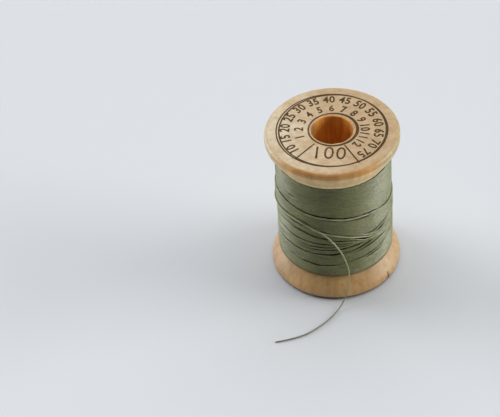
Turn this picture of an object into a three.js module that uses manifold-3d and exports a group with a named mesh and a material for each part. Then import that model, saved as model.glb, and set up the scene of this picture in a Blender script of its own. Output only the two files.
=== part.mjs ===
// A small wooden spool of sewing thread, standing on its bottom head.
// Millimetres, +Z up, the origin on the spool's axis in the plane that it stands on.
import * as THREE from 'three';
import { mergeVertices } from 'three/addons/utils/BufferGeometryUtils.js';
import Module from 'manifold-3d';

const wasm = await Module();
wasm.setup();

// the spool
const spoolHeight = 32.84;
const headDiameter = 25.4;
const boreDiameter = 7.9;
const barrelDiameter = 12.2;

// A head, from its outer face inwards.
const rimHeight = 1.74; // the edge that shows as a band
const rimRounding = 0.8; // the worn outer edge
const rimSoftness = 0.5; // the rounding of the rim's inner edge, where the cone starts
const rimLand = 0.05; // the least straight part on each side of the rim's middle
const boreChamfer = 0.25;
const bevelHeight = 3.1; // the steep cone behind the rim
const bevelRun = 1.83;
const coveHeight = 2.55; // the hollow curve from the cone down to the hub
const coveCorner = 0.68; // how far the cone's line runs on before the curve turns, as a part of coveHeight
const hubShoulder = 1.1; // the flat ring round the barrel
const socketFloor = 2.2; // the wood left under the barrel's end

// The nick in the bottom rim that holds a thread's end.
const nickWidth = 0.36;
const nickDepth = 0.4;
const nickAzimuth = 52.5;

// Clearances
const glueGap = 0.2; // round and under the barrel's ends
const coreGap = 0.3; // between the wound thread and the wood
const turnGap = 0.26; // between the outer turns and the layers below them

// the thread
const threadDiameter = 0.32;
const threadBelowRim = 1.62; // how far the wound surface lies inside the rim
const layerStep = 0.2; // the extra layer on the lower part
const stepFraction = 0.33; // where it starts, along the layer from the top
const stepSoftness = 0.05;
const layerTurns = 20.5; // the turns of the outer layer
const stepsPerTurn = 24;
const turnTilt = 1.1; // how far the turns slant off level
const tiltAzimuth = -94; // the side that the upper turns climb to
const diveBend = 0.5; // the bend where the layer's first turn comes up
const crossingGap = 0.45; // the last turn's clearance over the layer that it crosses
const liftAngle = 75; // the angle that the last turn takes to climb onto the layer
const climbStart = 110; // where on the last turn its long climb starts and ends
const climbEnd = 330;
const crestFall = 1.45; // how far it comes down again before it leaves the spool

// The loose end: it leaves the winding in front, falls past the bottom head and lies on the table.
const tailPoints = [
  [-2.68, -11.59, 17.32],
  [-1.24, -12.03, 16.16],
  [0.13, -12.45, 14.47],
  [1.28, -12.69, 12.23],
  [2.07, -12.83, 9.56],
  [2.33, -12.94, 7.57],
  [2.22, -13.11, 4.91],
  [1.93, -13.31, 2.95],
  [1.3, -13.69, 1.22],
  [0.21, -15.2, 0.33],
  [-1.33, -17.27, 0.18],
  [-3.33, -19.32, 0.18],
  [-6.04, -21.32, 0.18],
  [-8.49, -22.33, 0.18],
  [-10.66, -22.9, 0.18],
  [-12.13, -23.16, 0.18],
];
const tailGap = 0.3; // between the last turn and the loose end, face to face
const tailStep = 2.4; // the length of a step along the loose end, in diameters

// how finely round things are cut
const woodFacets = 64;
const coreFacets = 48;
const arcFacets = 5;
const edgeFacets = 3;
const coveFacets = 7;
const turnSides = 6;
const tailSides = 8;
const bendSteps = 4;
const pocketSides = 12;

// worked out from these
const headRadius = headDiameter / 2;
const boreRadius = boreDiameter / 2;
const barrelRadius = barrelDiameter / 2;
const threadRadius = threadDiameter / 2;
const socketRadius = barrelRadius + glueGap;
const hubRadius = barrelRadius + hubShoulder;
const bevelSlope = bevelHeight / bevelRun;
const outerEdge = Math.min(rimRounding, rimHeight / 2);
const innerEdge = Math.min(rimSoftness, rimHeight / 2 - rimLand);
const bevelEndRadius = headRadius - bevelRun;
const bevelEndHeight = rimHeight + bevelHeight;
const headDepth = bevelEndHeight + coveHeight;
const upperTurnRadius = headRadius - threadBelowRim - threadRadius;
const lowerTurnRadius = upperTurnRadius + layerStep;
const coreRadius = upperTurnRadius - threadRadius - turnGap;

const wood = { color: 0xcfa273, roughness: 0.62, metalness: 0 };
const cotton = { color: 0x6d7257, roughness: 0.85, metalness: 0 };

const spool = new THREE.Group();

function addPart(name, geometry, look) {
  const mesh = new THREE.Mesh(geometry, new THREE.MeshStandardMaterial(look));
  mesh.name = name;
  spool.add(mesh);
}

// Turns a closed outline of (radius, height) points round the spool's axis.
function revolve(outline, facets) {
  const geometry = new THREE.LatheGeometry(outline, facets);
  geometry.rotateX(Math.PI / 2);
  return geometry;
}

function degrees(angle) {
  return (angle * Math.PI) / 180;
}

// Azimuth 0 is the front, -Y, and it grows towards +X.
function onSpool(radius, azimuth, height) {
  const angle = degrees(azimuth);
  return new THREE.Vector3(radius * Math.sin(angle), -radius * Math.cos(angle), height);
}

function smoothStep(value, from, to) {
  return THREE.MathUtils.smoothstep(value, from, to);
}

// joining and cutting
function toSolid(geometry) {
  const bare = geometry.clone();
  bare.deleteAttribute('normal');
  bare.deleteAttribute('uv');
  const merged = mergeVertices(bare, 1e-5);
  const vertProperties = new Float32Array(merged.attributes.position.array);
  const triVerts = new Uint32Array(merged.index.array);
  return new wasm.Manifold(new wasm.Mesh({ numProp: 3, vertProperties, triVerts }));
}

function toGeometry(solid) {
  const mesh = solid.getMesh();
  const geometry = new THREE.BufferGeometry();
  geometry.setAttribute('position', new THREE.BufferAttribute(mesh.vertProperties, mesh.numProp));
  geometry.setIndex(new THREE.BufferAttribute(mesh.triVerts, 1));
  geometry.computeVertexNormals();
  return geometry;
}

function cut(geometry, tool) {
  return toGeometry(toSolid(geometry).subtract(toSolid(tool)));
}

// the heads and the barrel
// The inner face of a head from the hub out to the rim, as it lies on the bottom head.
function innerFace() {
  const face = new THREE.Path();
  face.moveTo(hubRadius, headDepth);
  const cornerHeight = coveHeight * coveCorner;
  face.quadraticCurveTo(
    bevelEndRadius - cornerHeight / bevelSlope,
    bevelEndHeight + cornerHeight,
    bevelEndRadius,
    bevelEndHeight,
  );
  const edge = new THREE.Path();
  edge.moveTo(headRadius - innerEdge / bevelSlope, rimHeight + innerEdge);
  edge.quadraticCurveTo(headRadius, rimHeight, headRadius, rimHeight - innerEdge);
  return [...face.getPoints(coveFacets), ...edge.getPoints(edgeFacets)];
}

// The outline of the bottom head: rim, cone, cove, hub, the blind socket for the barrel, and the bore.
function headOutline() {
  const outer = new THREE.Path();
  outer.moveTo(boreRadius + boreChamfer, 0);
  outer.lineTo(headRadius - outerEdge, 0);
  outer.absarc(headRadius - outerEdge, outerEdge, outerEdge, -Math.PI / 2, 0);
  return [
    ...outer.getPoints(arcFacets),
    ...innerFace().reverse(),
    new THREE.Vector2(socketRadius, headDepth),
    new THREE.Vector2(socketRadius, socketFloor),
    new THREE.Vector2(boreRadius, socketFloor),
    new THREE.Vector2(boreRadius, boreChamfer),
    new THREE.Vector2(boreRadius + boreChamfer, 0),
  ];
}

// The same outline at the other end of the spool.
function atTop(outline) {
  return outline.map((point) => new THREE.Vector2(point.x, spoolHeight - point.y)).reverse();
}

function threadNick() {
  const height = 2 * (rimHeight + nickDepth * bevelSlope);
  const nick = new THREE.BoxGeometry(nickWidth, 2 * nickDepth, 2 * height);
  nick.translate(0, -headRadius, 0);
  nick.rotateZ(degrees(nickAzimuth));
  return nick;
}

addPart('bottom_head', cut(revolve(headOutline(), woodFacets), threadNick()), wood);
addPart('top_head', revolve(atTop(headOutline()), woodFacets), wood);

const barrelStart = socketFloor + glueGap;
const barrelEnd = spoolHeight - barrelStart;
const barrelOutline = [
  new THREE.Vector2(boreRadius, barrelStart),
  new THREE.Vector2(barrelRadius, barrelStart),
  new THREE.Vector2(barrelRadius, barrelEnd),
  new THREE.Vector2(boreRadius, barrelEnd),
  new THREE.Vector2(boreRadius, barrelStart),
];
addPart('barrel', revolve(barrelOutline, woodFacets), wood);

// the way of the outer turns
// The height of a head's inner cone at a radius, with room for a round thread to lie against it.
function turnHeightOnCone(radius) {
  const coneHeight = rimHeight + (headRadius - radius) * bevelSlope;
  const slantLength = Math.hypot(1, bevelSlope);
  return coneHeight + (threadRadius + coreGap) * slantLength;
}

const layerTop = spoolHeight - turnHeightOnCone(upperTurnRadius);
const layerBottom = turnHeightOnCone(lowerTurnRadius);

const tailCurve = new THREE.CatmullRomCurve3(
  tailPoints.map((point) => new THREE.Vector3(...point)),
  false,
  'centripetal',
);
const tailStart = tailCurve.getPoint(0);
const tailDirection = tailCurve.getTangent(0);
const endAzimuth = THREE.MathUtils.radToDeg(Math.atan2(tailStart.x, -tailStart.y));
const startAzimuth = endAzimuth - 360 * (layerTurns + 1);

// A point of the outer layer, after so many turns from the top.
function layerPoint(turn) {
  const along = turn / layerTurns;
  const azimuth = startAzimuth + 360 * turn;
  const level = THREE.MathUtils.lerp(layerTop, layerBottom, along);
  const tilt = turnTilt * Math.sin(2 * Math.PI * along) * Math.cos(degrees(azimuth - tiltAzimuth));
  const extra = layerStep * smoothStep(along, stepFraction - stepSoftness, stepFraction + stepSoftness);
  return onSpool(upperTurnRadius + extra, azimuth, level + tilt);
}

// A point of the last turn, which climbs back over the layer and comes down to where the loose end starts.
function crossingPoint(angle) {
  const lift = (threadDiameter + crossingGap) * smoothStep(angle, 0, liftAngle);
  const crest = tailStart.z + crestFall;
  const climb = (crest - layerBottom) * smoothStep(angle, climbStart, climbEnd);
  const falling = Math.max(0, (angle - climbEnd) / (360 - climbEnd));
  const height = layerBottom + climb - crestFall * falling ** 2;
  return onSpool(lowerTurnRadius + lift, startAzimuth + 360 * layerTurns + angle, height);
}

// The first turn comes up square out of the layers below and bends over onto them.
function divePoints() {
  const outward = onSpool(1, startAzimuth, 0);
  const along = onSpool(1, startAzimuth + 90, 0);
  const at = (radius, sideways) => outward
    .clone()
    .multiplyScalar(radius)
    .addScaledVector(along, sideways)
    .setZ(layerTop);
  const legTop = upperTurnRadius - diveBend;
  const points = [at(legTop - threadDiameter, 0)];
  for (let step = 0; step <= bendSteps; step += 1) {
    const turned = (Math.PI / 2) * (step / bendSteps);
    points.push(at(legTop + diveBend * Math.sin(turned), diveBend * (1 - Math.cos(turned))));
  }
  return points;
}

function turnsPath() {
  const path = divePoints();
  const layerSteps = layerTurns * stepsPerTurn;
  for (let step = 1; step <= layerSteps; step += 1) {
    path.push(layerPoint(step / stepsPerTurn));
  }
  for (let step = 1; step < stepsPerTurn; step += 1) {
    path.push(crossingPoint((360 * step) / stepsPerTurn));
  }
  path.push(tailStart.clone().addScaledVector(tailDirection, -tailGap - threadDiameter));
  path.push(tailStart.clone().addScaledVector(tailDirection, -tailGap));
  return path;
}

// A closed tube with a ring of vertices at each point of its path and a flat lid at each end.
function tubeAlong(path, radius, sides) {
  const positions = [];
  const index = [];
  path.forEach((point, i) => {
    const before = path[Math.max(i - 1, 0)];
    const after = path[Math.min(i + 1, path.length - 1)];
    const forward = after.clone().sub(before).normalize();
    const across = new THREE.Vector3(0, 0, 1).addScaledVector(forward, -forward.z).normalize();
    const side = across.clone().cross(forward);
    for (let k = 0; k < sides; k += 1) {
      const angle = (2 * Math.PI * (k + 0.5)) / sides;
      const vertex = point
        .clone()
        .addScaledVector(side, radius * Math.cos(angle))
        .addScaledVector(across, radius * Math.sin(angle));
      positions.push(vertex.x, vertex.y, vertex.z);
    }
  });
  for (let i = 0; i < path.length - 1; i += 1) {
    for (let k = 0; k < sides; k += 1) {
      const a = i * sides + k;
      const b = i * sides + ((k + 1) % sides);
      index.push(a, b, a + sides, b, b + sides, a + sides);
    }
  }
  const last = (path.length - 1) * sides;
  for (let k = 1; k < sides - 1; k += 1) {
    index.push(0, k + 1, k);
    index.push(last, last + k, last + k + 1);
  }
  const geometry = new THREE.BufferGeometry();
  geometry.setAttribute('position', new THREE.Float32BufferAttribute(positions, 3));
  geometry.setIndex(index);
  geometry.computeVertexNormals();
  return geometry;
}

// The least gap between stretches of the tube that lie more than a few diameters apart along it.
function leastGapToItself(path, radius) {
  const spacing = 0.25;
  const farAlong = 8 * radius;
  const points = [];
  for (let i = 0; i < path.length - 1; i += 1) {
    const count = Math.max(1, Math.round(path[i].distanceTo(path[i + 1]) / spacing));
    for (let k = 0; k < count; k += 1) {
      points.push(path[i].clone().lerp(path[i + 1], k / count));
    }
  }
  const skip = Math.ceil(farAlong / spacing);
  let least = Infinity;
  for (let i = 0; i < points.length; i += 1) {
    for (let j = i + skip; j < points.length; j += 1) {
      least = Math.min(least, points[i].distanceToSquared(points[j]));
    }
  }
  return Math.sqrt(least) - 2 * radius;
}

const turns = turnsPath();
console.log(`turns of thread: ${layerTurns + 1}, in one tube ${threadDiameter} mm across`);
console.log(`least gap of that tube to itself: ${leastGapToItself(turns, threadRadius).toFixed(3)} mm`);
addPart('thread_turns', tubeAlong(turns, threadRadius, turnSides), cotton);

// the layers below the outer turns
// The inner face of a head, moved off it by a clearance and ended at a radius.
function endOfCore(radius, clearance) {
  const face = [new THREE.Vector2(socketRadius, headDepth), ...innerFace()];
  const moved = face.slice(0, -1).map((point, i) => {
    const before = face[Math.max(i - 1, 0)];
    const along = face[i + 1].clone().sub(before).normalize();
    return new THREE.Vector2(point.x - along.y * clearance, point.y + along.x * clearance);
  });
  const inside = moved.filter((point) => point.x > barrelRadius + clearance && point.x < radius);
  const first = new THREE.Vector2(barrelRadius + clearance, headDepth + clearance);
  const lastInside = inside[inside.length - 1];
  const last = new THREE.Vector2(radius, lastInside.y - (radius - lastInside.x) * bevelSlope);
  return [first, ...inside, last];
}

function coreOutline() {
  const bottom = endOfCore(coreRadius, coreGap);
  const top = atTop(endOfCore(coreRadius, coreGap));
  return [...bottom, ...top, bottom[0].clone()];
}

// The pocket that the outer layer's first turn comes out of.
function divePocket() {
  const bottom = upperTurnRadius - diveBend - threadDiameter - coreGap;
  const depth = 2 * (coreRadius - bottom);
  const pocket = new THREE.CylinderGeometry(
    threadRadius + coreGap,
    threadRadius + coreGap,
    depth,
    pocketSides,
  );
  pocket.translate(0, -(bottom + depth / 2), 0);
  pocket.rotateZ(degrees(startAzimuth));
  pocket.translate(0, 0, layerTop);
  return pocket;
}

addPart('thread_core', cut(revolve(coreOutline(), coreFacets), divePocket()), cotton);

// the loose end
const tailSection = new THREE.Shape();
for (let k = 0; k < tailSides; k += 1) {
  const angle = (2 * Math.PI * (k + 0.5)) / tailSides;
  const corner = [threadRadius * Math.cos(angle), threadRadius * Math.sin(angle)];
  if (k === 0) tailSection.moveTo(...corner);
  else tailSection.lineTo(...corner);
}
tailSection.closePath();
const tailLength = tailCurve.getLength();
console.log(`length of the loose end: ${tailLength.toFixed(1)} mm`);
const tail = new THREE.ExtrudeGeometry(tailSection, {
  steps: Math.round(tailLength / (tailStep * threadDiameter)),
  bevelEnabled: false,
  extrudePath: tailCurve,
});
addPart('thread_tail', tail, cotton);

export default spool;
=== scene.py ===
# A wooden spool of sage green sewing thread, with its end lying loose on the table.
import math

import bpy
from mathutils import Matrix, Vector, noise


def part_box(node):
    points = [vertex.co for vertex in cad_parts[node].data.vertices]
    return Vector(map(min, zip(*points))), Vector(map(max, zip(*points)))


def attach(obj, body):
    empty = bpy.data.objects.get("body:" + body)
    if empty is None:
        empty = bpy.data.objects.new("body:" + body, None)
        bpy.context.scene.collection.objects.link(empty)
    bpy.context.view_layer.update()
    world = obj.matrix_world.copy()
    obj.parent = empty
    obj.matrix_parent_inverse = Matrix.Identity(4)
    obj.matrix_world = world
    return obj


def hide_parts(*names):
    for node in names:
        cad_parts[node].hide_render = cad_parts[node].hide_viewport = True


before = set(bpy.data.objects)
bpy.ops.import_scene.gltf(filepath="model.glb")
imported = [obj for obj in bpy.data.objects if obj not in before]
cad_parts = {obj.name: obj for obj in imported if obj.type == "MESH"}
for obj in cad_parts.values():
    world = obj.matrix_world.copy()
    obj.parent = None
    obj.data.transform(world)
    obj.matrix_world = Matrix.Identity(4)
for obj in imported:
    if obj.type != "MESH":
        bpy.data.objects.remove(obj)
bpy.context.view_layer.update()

bpy.ops.object.select_all(action="DESELECT")  # the frame's solids come in selected
print("stage: the frame is loaded")


# Small helpers.
def makeActive(*pieces):
    # selects the pieces and nothing else; the first one becomes the active one
    bpy.ops.object.select_all(action="DESELECT")
    for piece in pieces:
        piece.select_set(True)
    bpy.context.view_layer.objects.active = pieces[0]


def editAll():
    # goes into edit mode, or stays in it, with everything selected
    bpy.ops.object.mode_set(mode="EDIT")
    bpy.ops.mesh.select_all(action="SELECT")


def keepPiece(piece, material, slot, *nodes):
    if material:
        piece.data.materials.clear()
        piece.data.materials.append(material)
    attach(piece, "root")
    if nodes:
        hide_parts(*nodes)


def onSpool(radius, azimuth, height):
    # azimuth 0 is the front of the spool, and it grows towards +X
    angle = math.radians(azimuth)
    return Vector((radius * math.sin(angle), -radius * math.cos(angle), height))


def smoothStep(value, low, high):
    t = min(max((value - low) / (high - low), 0), 1)
    return t * t * (3 - 2 * t)


def mix(a, b, share):
    return a + (b - a) * share


# The camera.
view = {
    "place": (0, -0.21043, 0.21546),
    "down": 43.758,  # degrees below level
    "aside": -4.483,  # degrees towards +X
    "roll": -5.155,
    "focal": 107.68,
    "sensor": 36,
}


def makeCamera():
    bpy.ops.object.camera_add(location=view["place"])
    camera = bpy.context.object
    camera.name = "photoCamera"
    turn = Matrix.Rotation(math.radians(-view["aside"]), 3, "Z")
    turn = turn @ Matrix.Rotation(math.radians(90 - view["down"]), 3, "X")
    turn = turn @ Matrix.Rotation(math.radians(view["roll"]), 3, "Z")
    camera.rotation_euler = turn.to_euler()
    camera.data.lens = view["focal"]
    camera.data.sensor_width = view["sensor"]
    camera.data.clip_start = 0.01
    camera.data.clip_end = 10
    bpy.context.scene.camera = camera


makeCamera()
bpy.context.scene.view_settings.view_transform = "Standard"

# The thread, and its loose end.
thread = {
    "diameter": 0.00032,
    "plies": 3,
    "plyPitch": 0.0011,  # length of one turn of the ply twist
    "sides": 12,  # of the loose end's section
    "plyEdge": 0.76,  # the section's radius between two plies, as a share of the thread's
    "plyBulge": 0.16,  # and how much more it is in the middle of a ply
}

looseEnd = {
    "length": 0.0353,
    "points": [
        (-0.00268, -0.01159, 0.01732),
        (-0.00124, -0.01203, 0.01616),
        (0.00013, -0.01245, 0.01447),
        (0.00128, -0.01269, 0.01223),
        (0.00207, -0.01283, 0.00956),
        (0.00233, -0.01294, 0.00757),
        (0.00222, -0.01311, 0.00491),
        (0.00193, -0.01331, 0.00295),
        (0.0013, -0.01369, 0.00122),
        (0.00021, -0.0152, 0.00033),
        (-0.00133, -0.01727, 0.00018),
        (-0.00333, -0.01932, 0.00018),
        (-0.00604, -0.02132, 0.00018),
        (-0.00849, -0.02233, 0.00018),
        (-0.01066, -0.0229, 0.00018),
        (-0.01213, -0.02316, 0.00018),
    ],
    "step": 0.00012,
    "fade": (0.0003, 0.004),  # the heights where it has the darker painted shade on the table, and the paler painted light where it stands free
}


def smoothLine(points, step):
    # one smooth curve through the points, with a point about every step
    points = [Vector(p) for p in points]
    line = []
    for i in range(len(points) - 1):
        before = points[max(i - 1, 0)]
        start, end = points[i], points[i + 1]
        after = points[min(i + 2, len(points) - 1)]
        count = max(2, round((end - start).length / step))
        for k in range(count):
            t = k / count
            line.append(0.5 * (
                2 * start
                + (end - before) * t
                + (2 * before - 5 * start + 4 * end - after) * t ** 2
                + (3 * start - before - 3 * end + after) * t ** 3
            ))
    line.append(points[-1])
    return line


def lineLength(line):
    return sum((b - a).length for a, b in zip(line, line[1:]))


def threadCurve(name, line, share=1, tilts=None, bevel=None):
    # draws a line of points as a round thread, or with the section that bevel has;
    # share is of the thread's diameter
    data = bpy.data.curves.new(name, "CURVE")
    data.dimensions = "3D"
    spline = data.splines.new("POLY")
    spline.points.add(len(line) - 1)
    for i, point in enumerate(spline.points):
        point.co = (*line[i], 1)
        if tilts:
            point.tilt = tilts[i]
    if bevel:
        data.bevel_mode = "OBJECT"
        data.bevel_object = bevel
    else:
        data.bevel_depth = share * thread["diameter"] / 2
        data.bevel_resolution = 2
    data.use_fill_caps = True
    piece = bpy.data.objects.new(name, data)
    bpy.context.collection.objects.link(piece)
    makeActive(piece)
    bpy.ops.object.convert(target="MESH")
    piece = bpy.context.object
    bpy.ops.object.shade_smooth()
    return piece


def plySection():
    # the thread's section: three plies side by side
    data = bpy.data.curves.new("plySection", "CURVE")
    data.dimensions = "2D"
    spline = data.splines.new("POLY")
    sides = thread["sides"]
    spline.points.add(sides - 1)
    for i, point in enumerate(spline.points):
        angle = 2 * math.pi * i / sides
        lobe = abs(math.cos(thread["plies"] * angle / 2))
        radius = thread["diameter"] / 2 * (thread["plyEdge"] + thread["plyBulge"] * lobe)
        point.co = (radius * math.cos(angle), radius * math.sin(angle), 0, 1)
    spline.use_cyclic_u = True
    section = bpy.data.objects.new("plySection", data)
    bpy.context.collection.objects.link(section)
    return section


def makeLooseEnd():
    line = smoothLine(looseEnd["points"], looseEnd["step"])
    travelled, tilts = 0, []
    for i, point in enumerate(line):
        if i:
            travelled += (point - line[i - 1]).length
        tilts.append(2 * math.pi * travelled / thread["plyPitch"])
    section = plySection()
    piece = threadCurve("looseEnd", line, 1, tilts, section)
    bpy.data.objects.remove(section)
    keepPiece(piece, None, "thread", "thread_tail")
    return piece, line


tailPiece, tailLine = makeLooseEnd()
print("stage: the camera and the loose end")


# Helpers for the materials' nodes.
def newMaterial(name):
    material = bpy.data.materials.new(name)
    material.use_nodes = True
    tree = material.node_tree
    return material, tree, tree.nodes["Principled BSDF"]


def addNode(tree, kind, **values):
    node = tree.nodes.new(kind)
    for name, value in values.items():
        setattr(node, name, value)
    return node


# The sockets that the values of a look go to.
sockets = {
    "colour": "Base Color",
    "roughness": "Roughness",
    "specular": "Specular IOR Level",
    "sheen": "Sheen Weight",
    "sheenRoughness": "Sheen Roughness",
    "sheenTint": "Sheen Tint",
    "silkIor": "Coat IOR",
    "silkRoughness": "Coat Roughness",
    "light": "Light Cotton",
    "dark": "Dark Cotton",
    "unevenness": "Unevenness",
    "shade": "Shade",
    "streaks": "Streaks",
    "mottling": "Mottling",
}


def setLook(node, look):
    for name, label in sockets.items():
        if name in look and label in node.inputs:
            node.inputs[label].default_value = look[name]


def setSockets(node, values):
    for label, value in values.items():
        node.inputs[label].default_value = value


def coordinate(tree, kind="Object"):
    return addNode(tree, "ShaderNodeTexCoord").outputs[kind]


def splitAxes(tree, vector):
    node = addNode(tree, "ShaderNodeSeparateXYZ")
    tree.links.new(vector, node.inputs["Vector"])
    return node.outputs["X"], node.outputs["Y"], node.outputs["Z"]


def feed(tree, socket, value):
    # value is another node's output, or a plain number or colour
    if hasattr(value, "is_output"):
        tree.links.new(value, socket)
    else:
        socket.default_value = value


def mixColours(tree, share, first, second, mode="MIX"):
    node = addNode(tree, "ShaderNodeMix", data_type="RGBA", blend_type=mode)
    for socket, value in ((node.inputs[0], share), (node.inputs[6], first), (node.inputs[7], second)):
        feed(tree, socket, value)
    return node.outputs[2]


def calculate(tree, operation, *values, clamp=False):
    node = addNode(tree, "ShaderNodeMath", operation=operation, use_clamp=clamp)
    for socket, value in zip(node.inputs, values):
        feed(tree, socket, value)
    return node.outputs[0]


def weightedSum(tree, *terms):
    # the sum of (output, weight) pairs
    total = 0
    for output, weight in terms:
        total = calculate(tree, "MULTIPLY_ADD", output, weight, total)
    return total


def between(tree, value, low, high):
    # 0 at low, 1 at high, smooth in between; high may be the smaller one
    node = addNode(tree, "ShaderNodeMapRange", interpolation_type="SMOOTHSTEP")
    tree.links.new(value, node.inputs["Value"])
    setSockets(node, {"From Min": low, "From Max": high})
    return node.outputs["Result"]


def coats(tree, colour, *layers):
    # lays one (share, colour) after the other over the first colour
    for share, layer in layers:
        colour = mixColours(tree, share, colour, layer)
    return colour


def noiseAt(tree, place, scale, detail=3.0, roughness=0.5):
    # scale is one number, or one for each axis
    node = addNode(tree, "ShaderNodeTexNoise")
    if isinstance(scale, tuple):
        mapping = addNode(tree, "ShaderNodeMapping")
        setSockets(mapping, {"Scale": scale})
        tree.links.new(place, mapping.inputs["Vector"])
        place, scale = mapping.outputs["Vector"], 1.0
    setSockets(node, {"Scale": scale, "Detail": detail, "Roughness": roughness})
    tree.links.new(place, node.inputs["Vector"])
    return node.outputs["Fac"]


def noiseShare(tree, place, scale, detail, roughness, low, high):
    return between(tree, noiseAt(tree, place, scale, detail, roughness), low, high)


def bumpInto(tree, principled, height, look):
    node = addNode(tree, "ShaderNodeBump")
    setSockets(node, {"Strength": look["bump"], "Distance": look["bumpDepth"]})
    tree.links.new(height, node.inputs["Height"])
    tree.links.new(node.outputs["Normal"], principled.inputs["Normal"])


def newGroup(name, inputs, outputs):
    # inputs and outputs are (name, kind) pairs, where kind is Color or Float
    tree = bpy.data.node_groups.new(name, "ShaderNodeTree")
    for direction, pairs in (("INPUT", inputs), ("OUTPUT", outputs)):
        for label, kind in pairs:
            tree.interface.new_socket(name=label, in_out=direction, socket_type="NodeSocket" + kind)
    return tree, tree.nodes.new("NodeGroupInput"), tree.nodes.new("NodeGroupOutput")


# The wood's grain, for every turned piece and for the ink that lies on it.
woodGrain = {
    # scale on x, y and z, detail, roughness, and the values where it starts and is full
    "fine": ((3200, 3200, 120), 4, 0.6, 0.35, 0.7),
    "wide": ((950, 950, 45), 3, 0.55, 0.38, 0.66),
    "broad": ((260, 420, 90), 5, 0.65, 0.38, 0.66),
    "figure": ((330, 2600, 60), 3, 0.6, 0.4, 0.65),
    "patchy": ((420, 420, 120), 3, 0.6, 0.1, 0.45),
}


def makeGrainGroup():
    tree, given, result = newGroup(
        "turnedGrain",
        [("Wood", "Color"), ("Shade", "Color"), ("Streaks", "Float"), ("Mottling", "Float")],
        [("Colour", "Color"), ("Height", "Float")],
    )
    place = coordinate(tree)
    # the fibres run along the axis: streaks on the rims, dots on the end faces
    fine, wide, broad, figure = (
        noiseShare(tree, place, *woodGrain[name]) for name in ("fine", "wide", "broad", "figure")
    )
    streaks = weightedSum(tree, (fine, 0.4), (wide, 0.6))
    mottling = weightedSum(tree, (figure, 0.4), (broad, 0.6))
    own = given.outputs
    share = weightedSum(tree, (streaks, own["Streaks"]), (mottling, own["Mottling"]))
    dark = mixColours(tree, 1.0, own["Wood"], own["Shade"], "MULTIPLY")
    tree.links.new(mixColours(tree, share, own["Wood"], dark), result.inputs["Colour"])
    tree.links.new(calculate(tree, "SUBTRACT", 1.0, streaks), result.inputs["Height"])
    return tree


grainGroup = makeGrainGroup()

headLook = {
    "faceSheenLeft": (0.70, 0.61, 0.45, 1),  # the left side of the end faces, paler with a painted sheen of the lamp on the left
    "faceRight": (0.53, 0.38, 0.215, 1),  # and their browner side
    "towards": (0.97, 0.22),  # the way from one to the other, in x and y
    "faceReach": 0.012,  # how far that way goes from the middle
    "faceWander": 2.2,  # how raggedly the colour changes along it
    "bevel": (0.80, 0.58, 0.29, 1),  # the cone under the top face, painted paler than the bottom head's wood, as if lit from the table below
    "highlightBesideThread": (0.95, 0.80, 0.50, 1),  # a pale strip where that cone meets the thread: a painted highlight
    "sheenShadeSides": (0.58, 0.50, 0.32, 1),  # the top head's cone at the left and the right, greyer and darker: a painted sheen and shade of the side lamps
    "foot": (0.67, 0.42, 0.18, 1),  # the front of the bottom head
    "footShadeRight": (0.50, 0.31, 0.135, 1),  # its front towards the right, darker: painted shade
    "footShadeSheenSides": (0.51, 0.345, 0.18, 1),  # and its sides, darker and greyer: painted shade and sheen of the side lamps
    "footContactShadow": (0.16, 0.07, 0.025, 1),  # the edge it stands on, dark brown: a painted contact shadow
    "rim": (0.61, 0.32, 0.095, 1),  # the darker, more orange band round the top head's edge: partly burnished wood, partly painted shade
    "rimRight": (0.46, 0.37, 0.20, 1),  # and its right end, greyer and darker: painted sheen and shade under the lamp on the right
    "stain": (0.22, 0.07, 0.03, 1),  # rust-brown, round the nick
    "stainPlace": (0.0127, 52, 0.0009),  # radius, azimuth and height of its middle
    "stainRagged": 0.0012,  # how far its edge strays
    "stainWorn": 0.3,  # how much of it is worn off
    "shade": (0.66, 0.55, 0.42, 1),  # the darker grain, as a share of the wood's colour
    "streaks": 0.55,
    "mottling": 0.4,
    "roughness": 0.42,
    "bump": 0.4,
    "bumpDepth": 0.00004,
}
# Where a colour of the heads starts, and where it is full.
headPlaces = {
    "faceRight": (-0.1, 1.5),  # along the way from left to right
    "highlightBesideThread": (0.01155, 0.0112),  # radius
    "footShadeRight": (0, 0.006),  # x
    "footShadeSheenSides": (-0.0115, -0.006),  # y
    "footContactShadow": (0.0009, 0.0006),  # height
    "leftSide": (-0.0075, -0.0122),  # x
    "rightSide": (0.006, 0.0105),  # x
    "topHead": (0.01, 0.02),  # height
    "rim": (0.0315, 0.0318),  # height
    "rimFadesLeft": (-0.0125, -0.006),  # x
    "face": (0.03278, 0.03283),  # height
    "stain": (0.0018, 0.0009),  # distance from the nick's foot
}
boreLook = {
    "wood": (0.88, 0.44, 0.098, 1),
    "mouthShadeSides": (0.42, 0.24, 0.09, 1),  # the mouth's left and right, darker: painted shade
    "mouthAside": (0.0029, 0.0040),  # how far to the side it starts, and is full
    "mouthShift": 0.0004,  # how much nearer it starts at the left
    "mouthHeight": (0.0295, 0.0320),
    "reach": 0.0046,  # the radius up to which faces may have this finish
    "steepness": (0.97, 0.6),  # how level such a face may lie, behind and in front; behind, nearly the whole mouth gets painted shade
    "shade": (0.66, 0.52, 0.4, 1),
    "streaks": 0.8,
    "mottling": 0.5,
    "roughness": 0.5,
    "bump": 0.5,
    "bumpDepth": 0.00005,
}


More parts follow.
